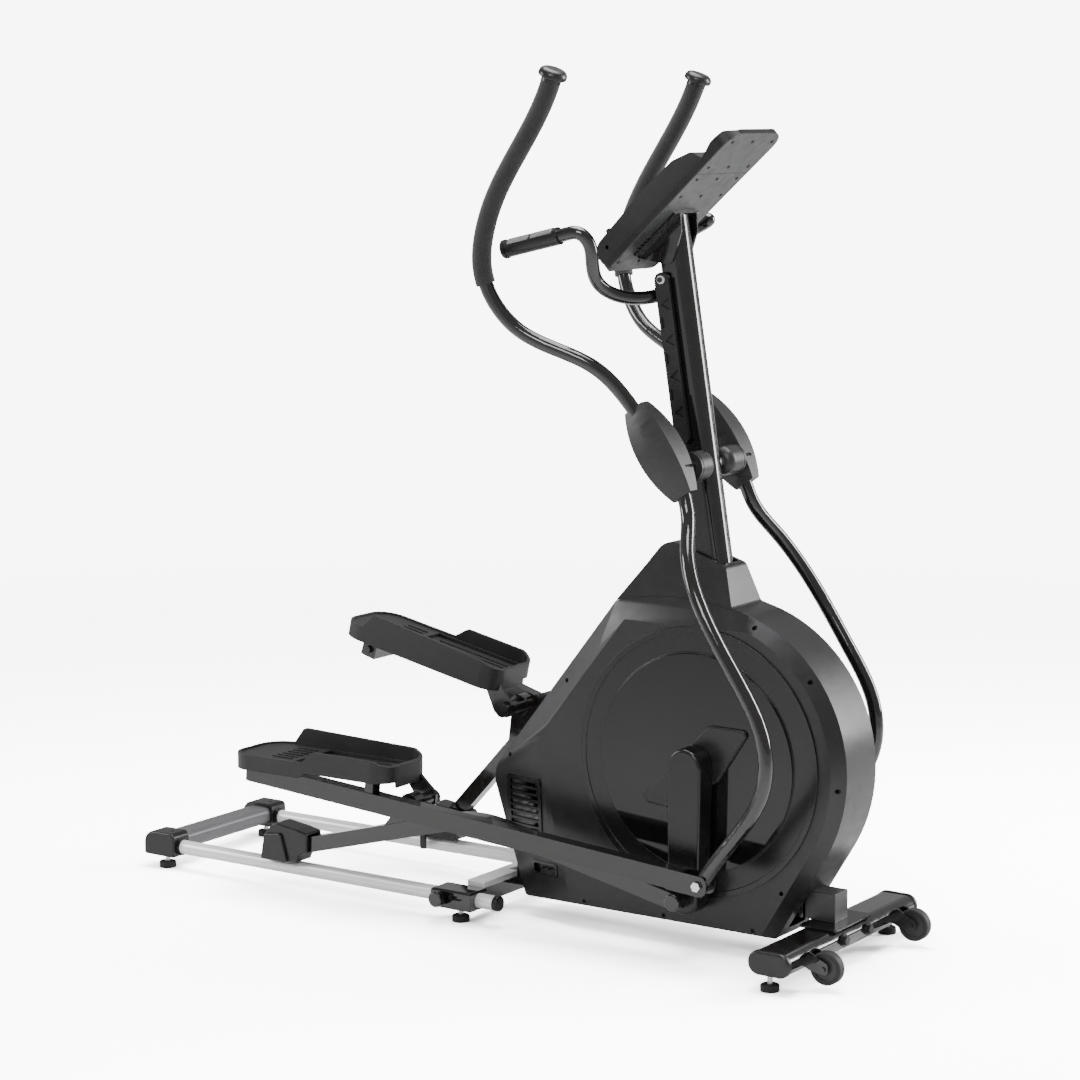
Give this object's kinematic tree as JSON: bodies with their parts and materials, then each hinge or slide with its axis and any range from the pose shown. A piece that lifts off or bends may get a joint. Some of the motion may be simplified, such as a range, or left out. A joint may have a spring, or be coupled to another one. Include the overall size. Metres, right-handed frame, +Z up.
{
  "type": "elliptical trainer",
  "caption": "Front-drive elliptical trainer: shrouded flywheel and crank, swing arms with foam handles, pedal bars on rollers and rails, mast, console and fixed pulse grips.",
  "frame": {"origin": "on the floor, midway between the rear rail ends and the transport wheels, on the machine's middle plane", "axes": "+X towards the flywheel end, the way the user faces; +Y towards the user's left; +Z up"},
  "size_m": [1.693, 0.596, 1.6974],
  "materials": {
    "black_paint": "gloss black powder coat",
    "graphite_shell": "satin graphite with a fine metallic fleck",
    "gloss_disc": "polished black",
    "black_cover": "satin black moulding",
    "pedal_black": "coarse matte texture",
    "rail_aluminium": "satin anodised",
    "steel": "zinc plated",
    "cast_iron": "machined rim, painted web",
    "foam": "closed-cell foam",
    "rubber": "matt",
    "console_grey": "fine texture, mid grey",
    "console_black": "fine texture, dark",
    "display_face": "smooth window and membrane keypad",
    "sensor_plate": "polished",
    "roller_tyre": "dark blue polyurethane",
    "wheel_plastic": "hard moulding",
    "post_grey": "satin light grey"
  },
  "bodies": {
    "base": {"main_frame": "black_paint", "crank_bearings": "steel", "front_post": "post_grey", "front_stabilizer": "black_paint", "stabilizer_end_caps": "rubber", "levelling_feet": "rubber", "frame_bolts": "steel", "wheel_brackets": "black_paint", "slide_rails": "rail_aluminium", "rear_cross_tube": "black_paint", "rail_end_caps": "black_cover", "rail_clamps": "black_cover", "rail_cross_plate": "rail_aluminium", "shroud_right": "graphite_shell", "shroud_left": "graphite_shell", "shroud_collar": "graphite_shell", "shroud_vents": "black_cover", "power_inlet": "black_cover", "side_discs": "gloss_disc", "crank_boss_covers": "graphite_shell", "cover_screws": "steel", "drive_belt": "rubber", "magnet_brake": "steel", "mast": "black_paint", "mast_base_cover": "graphite_shell", "mast_straps": "graphite_shell", "pivot_axle": "steel", "pivot_cups": "graphite_shell", "console_bracket": "black_paint", "console_back_cover": "console_grey", "console_housing": "console_black", "console_display": "display_face", "pulse_handlebar": "black_paint", "pulse_grips": "rubber", "pulse_pads": "sensor_plate"},
    "crank": {"crank_axle": "steel", "drive_pulley": "wheel_plastic", "crank_arms": "steel", "crank_covers": "black_cover"},
    "flywheel": {"flywheel": "cast_iron"},
    "transport_wheel_right": {"transport_wheel_right": "wheel_plastic"},
    "transport_wheel_left": {"transport_wheel_left": "wheel_plastic"},
    "right_swing_arm": {"right_swing_tube": "black_paint", "right_handle_foam": "foam", "right_handle_knob": "rubber", "right_pivot_pod": "graphite_shell"},
    "right_pedal_link": {"right_pedal_bar": "black_paint", "right_pedal": "pedal_black"},
    "right_roller_link": {"right_roller_bar": "black_paint", "right_carriage_cover": "black_cover"},
    "right_rail_roller": {"right_rail_roller": "roller_tyre"},
    "left_swing_arm": {"left_swing_tube": "black_paint", "left_handle_foam": "foam", "left_handle_knob": "rubber", "left_pivot_pod": "graphite_shell"},
    "left_pedal_link": {"left_pedal_bar": "black_paint", "left_pedal": "pedal_black"},
    "left_roller_link": {"left_roller_bar": "black_paint", "left_carriage_cover": "black_cover"},
    "left_rail_roller": {"left_rail_roller": "roller_tyre"}
  },
  "joints": [
    {"name": "right_swing", "type": "hinge", "parent": "base", "child": "right_swing_arm", "pos_m": [0.452, -0.107, 0.943], "axis": [0, 1, 0], "range_deg": [-17.5, 17.5]},
    {"name": "right_pedal_pivot", "type": "hinge", "parent": "right_swing_arm", "child": "right_pedal_link", "pos_m": [0.56234, -0.211, 0.17219], "axis": [0, 1, 0], "range_deg": [-15.2, 15.2]},
    {"name": "right_roller_pivot", "type": "hinge", "parent": "right_pedal_link", "child": "right_roller_link", "pos_m": [-0.14566, -0.166, 0.22556], "axis": [0, 1, 0], "range_deg": [-4, 4]},
    {"name": "right_rail_roll", "type": "hinge", "parent": "right_roller_link", "child": "right_rail_roller", "pos_m": [-0.46954, -0.166, 0.0884], "axis": [0, 1, 0], "range_deg": [-600, 600]},
    {"name": "left_swing", "type": "hinge", "parent": "base", "child": "left_swing_arm", "pos_m": [0.452, 0.107, 0.943], "axis": [0, 1, 0], "range_deg": [-17.5, 17.5]},
    {"name": "left_pedal_pivot", "type": "hinge", "parent": "left_swing_arm", "child": "left_pedal_link", "pos_m": [0.57519, 0.211, 0.17414], "axis": [0, 1, 0], "range_deg": [-15.2, 15.2]},
    {"name": "left_roller_pivot", "type": "hinge", "parent": "left_pedal_link", "child": "left_roller_link", "pos_m": [-0.10469, 0.166, 0.37872], "axis": [0, 1, 0], "range_deg": [-4, 4]},
    {"name": "left_rail_roll", "type": "hinge", "parent": "left_roller_link", "child": "left_rail_roller", "pos_m": [-0.30325, 0.166, 0.0884], "axis": [0, 1, 0], "range_deg": [-600, 600]},
    {"name": "crank_turn", "type": "hinge", "parent": "base", "child": "crank", "pos_m": [0.48, 0, 0.372], "axis": [0, 1, 0], "continuous": true},
    {"name": "flywheel_turn", "type": "hinge", "parent": "base", "child": "flywheel", "pos_m": [0.165, 0, 0.278], "axis": [0, 1, 0], "continuous": true},
    {"name": "wheel_turn_right", "type": "hinge", "parent": "base", "child": "transport_wheel_right", "pos_m": [0.814, -0.178, 0.044], "axis": [0, 1, 0], "continuous": true},
    {"name": "wheel_turn_left", "type": "hinge", "parent": "base", "child": "transport_wheel_left", "pos_m": [0.814, 0.178, 0.044], "axis": [0, 1, 0], "continuous": true}
  ],
  "couplings": [
    {"joint": "right_pedal_pivot", "follows": "right_swing", "ratio": -0.8442},
    {"joint": "right_roller_pivot", "follows": "right_swing", "ratio": -0.1558},
    {"joint": "right_rail_roll", "follows": "right_swing", "ratio": -31.771},
    {"joint": "left_swing", "follows": "right_swing", "ratio": -1},
    {"joint": "left_pedal_pivot", "follows": "right_swing", "ratio": 0.8188},
    {"joint": "left_roller_pivot", "follows": "right_swing", "ratio": 0.1812},
    {"joint": "left_rail_roll", "follows": "right_swing", "ratio": 30.491},
    {"joint": "flywheel_turn", "follows": "crank_turn", "ratio": 7.9}
  ]
}
